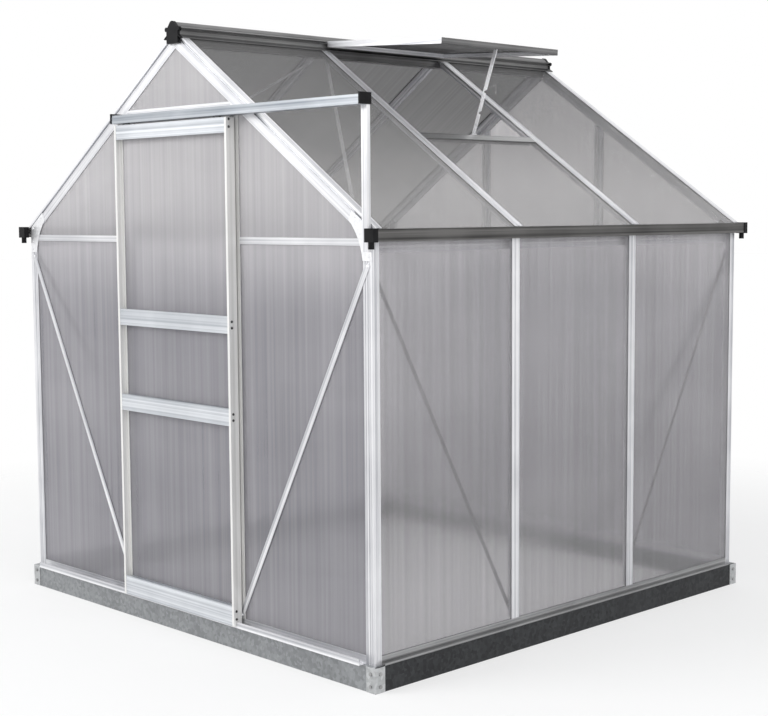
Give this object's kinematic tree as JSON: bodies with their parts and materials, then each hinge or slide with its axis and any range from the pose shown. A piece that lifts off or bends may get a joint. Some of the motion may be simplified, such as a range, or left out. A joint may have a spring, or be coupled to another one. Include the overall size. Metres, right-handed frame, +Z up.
{
  "type": "greenhouse",
  "caption": "Small gable-roof greenhouse of aluminium bars and translucent twin-wall sheets on a steel base, with a sliding door and a propped roof vent.",
  "frame": {"origin": "centre of the base's footprint, on the ground", "axes": "+Z up, the door gable faces -Y, the ridge runs along Y and the vent is on the +X slope"},
  "size_m": [1.936, 1.931, 2.0386],
  "materials": {
    "aluminium": "mill finish, bright",
    "galvanised": "galvanised, dull with a faint spangle",
    "fasteners": "zinc plated",
    "black_plastic": "moulded, satin",
    "glazing_sheet": "translucent twin-wall sheet with fine flutes"
  },
  "bodies": {
    "frame": {"sill_front": "aluminium", "sill_rear": "aluminium", "side_sills": "aluminium", "corner_posts_front": "aluminium", "corner_posts_rear": "aluminium", "side_studs_left": "aluminium", "side_studs_right": "aluminium", "door_post_left": "aluminium", "door_post_right": "aluminium", "rear_studs": "aluminium", "front_transoms": "aluminium", "rear_transoms": "aluminium", "door_head_rail": "aluminium", "rafters_front": "aluminium", "rafters_rear": "aluminium", "roof_bars_left": "aluminium", "roof_bars_right": "aluminium", "ridge_bar": "aluminium", "gutter_left": "aluminium", "gutter_right": "aluminium", "vent_sill": "aluminium", "vent_peg_bracket": "aluminium", "front_braces": "aluminium", "rear_braces": "aluminium", "side_braces": "aluminium", "roof_braces": "aluminium", "gussets": "aluminium", "door_track": "aluminium", "track_strut": "aluminium", "base_rails_end": "galvanised", "base_rails_side": "galvanised", "base_corner_brackets": "galvanised", "base_bolts": "fasteners", "frame_rivets": "fasteners", "ridge_end_caps": "black_plastic", "gutter_end_caps": "black_plastic", "track_end_caps": "black_plastic", "front_wall_panels": "glazing_sheet", "rear_wall_panels": "glazing_sheet", "left_wall_panels": "glazing_sheet", "right_wall_panels": "glazing_sheet", "left_roof_panels": "glazing_sheet", "right_roof_panels": "glazing_sheet"},
    "door": {"door_stiles": "aluminium", "door_top_rail": "aluminium", "door_mid_rails": "aluminium", "door_bottom_rail": "aluminium", "door_panes": "glazing_sheet", "door_screws": "fasteners", "door_glides": "black_plastic", "door_hangers": "galvanised"},
    "door_roller_left": {"door_roller_left": "fasteners"},
    "door_roller_right": {"door_roller_right": "fasteners"},
    "vent": {"vent_top_rail": "aluminium", "vent_side_rails": "aluminium", "vent_bottom_rail": "aluminium", "vent_pane": "glazing_sheet"},
    "vent_stay": {"vent_stay": "aluminium"}
  },
  "joints": [
    {"name": "door_slide", "type": "slide", "parent": "frame", "child": "door", "axis": [1, 0, 0], "range_m": [0, 0.595]},
    {"name": "door_roller_left_spin", "type": "hinge", "parent": "door", "child": "door_roller_left", "pos_m": [-0.25, -0.949, 1.7293], "axis": [0, 1, 0], "continuous": true},
    {"name": "door_roller_right_spin", "type": "hinge", "parent": "door", "child": "door_roller_right", "pos_m": [0.25, -0.949, 1.7293], "axis": [0, 1, 0], "continuous": true},
    {"name": "vent_hinge", "type": "hinge", "parent": "frame", "child": "vent", "pos_m": [0.03192, 0, 2.01211], "axis": [0, -1, 0], "range_deg": [-30.7, 0]},
    {"name": "stay_fold", "type": "hinge", "parent": "vent", "child": "vent_stay", "pos_m": [0.57517, 0, 1.96686], "axis": [0, -1, 0], "range_deg": [-70.5, 0.5]}
  ],
  "couplings": [
    {"joint": "door_roller_left_spin", "follows": "door_slide", "rad_per_m": 111.11},
    {"joint": "door_roller_right_spin", "follows": "door_slide", "rad_per_m": 111.11},
    {"joint": "stay_fold", "follows": "vent_hinge", "ratio": 2.28}
  ]
}
